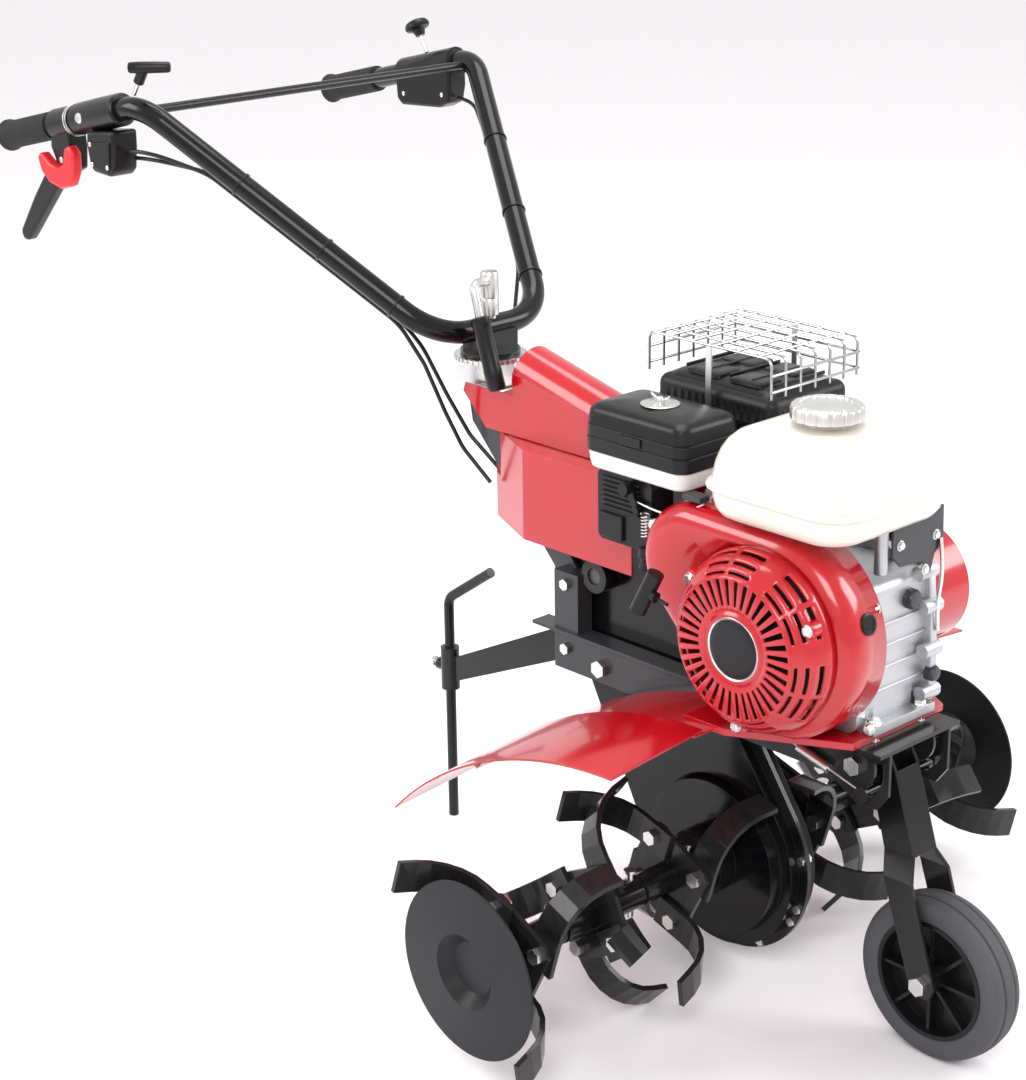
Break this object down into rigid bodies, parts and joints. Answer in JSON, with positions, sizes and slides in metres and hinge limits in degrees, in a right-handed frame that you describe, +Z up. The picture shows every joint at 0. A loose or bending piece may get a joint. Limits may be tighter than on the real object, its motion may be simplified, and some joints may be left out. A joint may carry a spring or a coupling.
{
  "type": "petrol tiller",
  "caption": "Walk-behind petrol rotary cultivator: engine, belt and chain drive, curved bolted tines with side discs, fenders, folding transport wheel, depth bar and swivelling handlebar.",
  "frame": {"origin": "on the ground at the middle of the machine's length and width", "axes": "+X towards the machine's left side seen from the operator, +Y from the transport wheel towards the handlebar grips, +Z up"},
  "size_m": [0.8466, 1.4091, 0.9869],
  "materials": {
    "machined_steel": "plain steel, oiled",
    "black_paint": "gloss black paint",
    "red_paint": "gloss red paint",
    "grey_paint": "dark grey satin paint",
    "zinc_steel": "bright zinc plate",
    "cast_aluminium": "as cast, satin",
    "cream_paint": "gloss off-white paint",
    "chrome_wire": "bright plated wire",
    "black_plastic": "moulded black",
    "white_plastic": "moulded off-white",
    "red_plastic": "moulded red",
    "red_moulding": "glossy red moulding",
    "rubber_grip": "soft black rubber",
    "tyre_rubber": "solid rubber tyre",
    "belt_rubber": "fabric-faced belt",
    "cable_sheath": "smooth black sheath",
    "satin_black": "satin black paint",
    "cast_iron": "machined casting"
  },
  "bodies": {
    "chassis": {"main_frame": "grey_paint", "front_bracket": "black_paint", "engine_plate": "red_paint", "right_fender": "red_paint", "left_fender": "red_paint", "chassis_bolts": "zinc_steel", "column_cover": "red_moulding", "gear_cover": "red_moulding", "belt_cover": "red_moulding", "chain_case_right": "black_paint", "chain_case_left": "black_paint", "depth_bar_bracket": "black_paint", "crankcase": "cast_aluminium", "fan_housing": "red_paint", "recoil_cover": "red_paint", "fuel_tank": "cream_paint", "air_cleaner_base": "white_plastic", "air_cleaner_cover": "black_plastic", "carburettor": "cast_aluminium", "throttle_panel": "black_plastic", "muffler": "satin_black", "muffler_shield": "satin_black", "wire_guard": "chrome_wire", "fork_spring": "zinc_steel", "drive_chain": "machined_steel", "drive_belt": "belt_rubber"},
    "rotor": {"output_shaft": "machined_steel", "tine_hubs": "black_paint", "tines": "black_paint", "tine_bolts": "zinc_steel", "hub_pins": "zinc_steel", "side_discs": "satin_black"},
    "input_shaft": {"driven_pulley": "cast_iron"},
    "crank": {"crankshaft": "cast_iron", "flywheel": "cast_iron", "drive_pulley": "cast_iron"},
    "idler": {"idler_arm": "zinc_steel"},
    "fork": {"wheel_fork": "black_paint", "wheel_axle": "zinc_steel"},
    "wheel": {"wheel_rim": "black_plastic", "wheel_tyre": "tyre_rubber"},
    "depth_stake": {"depth_bar": "black_paint"},
    "head": {"head_bracket": "zinc_steel"},
    "handlebar": {"handlebar_saddle": "black_paint", "handlebar_tube": "black_paint", "cross_rod": "black_paint", "hand_grips": "rubber_grip", "lever_bracket": "black_plastic", "right_control_box": "black_plastic", "left_control_housing": "black_plastic", "control_cables": "cable_sheath"},
    "clamp": {"clamp_lever": "black_plastic"},
    "clutch": {"clutch_lever": "black_plastic"},
    "latch": {"safety_latch": "red_plastic"},
    "right_knob": {"right_pull_knob": "black_plastic"},
    "left_knob": {"left_pull_knob": "black_plastic"},
    "starter_grip": {"pull_start_grip": "black_plastic"},
    "cap": {"fuel_cap": "zinc_steel"},
    "throttle": {"throttle_lever": "black_plastic"}
  },
  "joints": [
    {"name": "rotor_spin", "type": "hinge", "parent": "chassis", "child": "rotor", "pos_m": [0, -0.311, 0.134], "axis": [1, 0, 0], "continuous": true},
    {"name": "input_spin", "type": "hinge", "parent": "chassis", "child": "input_shaft", "pos_m": [0, -0.133, 0.428], "axis": [1, 0, 0], "continuous": true},
    {"name": "crank_spin", "type": "hinge", "parent": "chassis", "child": "crank", "pos_m": [0, -0.459, 0.468], "axis": [1, 0, 0], "continuous": true},
    {"name": "idler_swing", "type": "hinge", "parent": "chassis", "child": "idler", "pos_m": [0, -0.261, 0.45], "axis": [1, 0, 0], "range_deg": [0, 5.5]},
    {"name": "fork_fold", "type": "hinge", "parent": "chassis", "child": "fork", "pos_m": [0, -0.529, 0.326], "axis": [-1, 0, 0], "range_deg": [0, 65], "stiffness_Nm_per_rad": 7, "springref_deg": -137.51, "deforming": ["fork_spring"]},
    {"name": "wheel_spin", "type": "hinge", "parent": "fork", "child": "wheel", "pos_m": [0, -0.612, 0.0926], "axis": [1, 0, 0], "continuous": true},
    {"name": "depth_bar_slide", "type": "slide", "parent": "chassis", "child": "depth_stake", "axis": [0, 0, 1], "range_m": [0, 0.1]},
    {"name": "head_tilt", "type": "hinge", "parent": "chassis", "child": "head", "pos_m": [0, 0.074, 0.596], "axis": [1, 0, 0], "range_deg": [-4, 6], "deforming": ["control_cables"]},
    {"name": "handlebar_swivel", "type": "hinge", "parent": "head", "child": "handlebar", "pos_m": [0, 0.083, 0.66], "axis": [0, 0, 1], "range_deg": [-25, 10], "deforming": ["control_cables"]},
    {"name": "clamp_lever_turn", "type": "hinge", "parent": "head", "child": "clamp", "pos_m": [0, 0.083, 0.716], "axis": [0, 0, 1], "range_deg": [-10, 0]},
    {"name": "clutch_lever_squeeze", "type": "hinge", "parent": "handlebar", "child": "clutch", "pos_m": [-0.261, 0.557, 0.852], "axis": [1, 0, 0], "range_deg": [0, 36], "stiffness_Nm_per_rad": 0.4, "springref_deg": -68.75},
    {"name": "safety_latch_turn", "type": "hinge", "parent": "handlebar", "child": "latch", "pos_m": [-0.275, 0.527, 0.862], "axis": [1, 0, 0], "range_deg": [0, 10], "stiffness_Nm_per_rad": 0.08, "springref_deg": -57.3},
    {"name": "right_knob_pull", "type": "slide", "parent": "handlebar", "child": "right_knob", "axis": [0, -0.5798, 0.8148], "range_m": [0, 0.018]},
    {"name": "left_knob_pull", "type": "slide", "parent": "handlebar", "child": "left_knob", "axis": [0, 0.4899, 0.8718], "range_m": [0, 0.015]},
    {"name": "pull_start", "type": "slide", "parent": "chassis", "child": "starter_grip", "axis": [0, 0.9798, 0.2], "range_m": [0, 0.2]},
    {"name": "fuel_cap_turn", "type": "hinge", "parent": "chassis", "child": "cap", "pos_m": [-0.05, -0.476, 0.7], "axis": [0, 0, 1], "range_deg": [0, 90]},
    {"name": "throttle_turn", "type": "hinge", "parent": "chassis", "child": "throttle", "pos_m": [-0.105, -0.265, 0.556], "axis": [1, 0, 0], "range_deg": [-35, 0]}
  ],
  "couplings": [
    {"joint": "input_spin", "follows": "rotor_spin", "ratio": 4},
    {"joint": "idler_swing", "follows": "clutch_lever_squeeze", "ratio": 0.14}
  ]
}
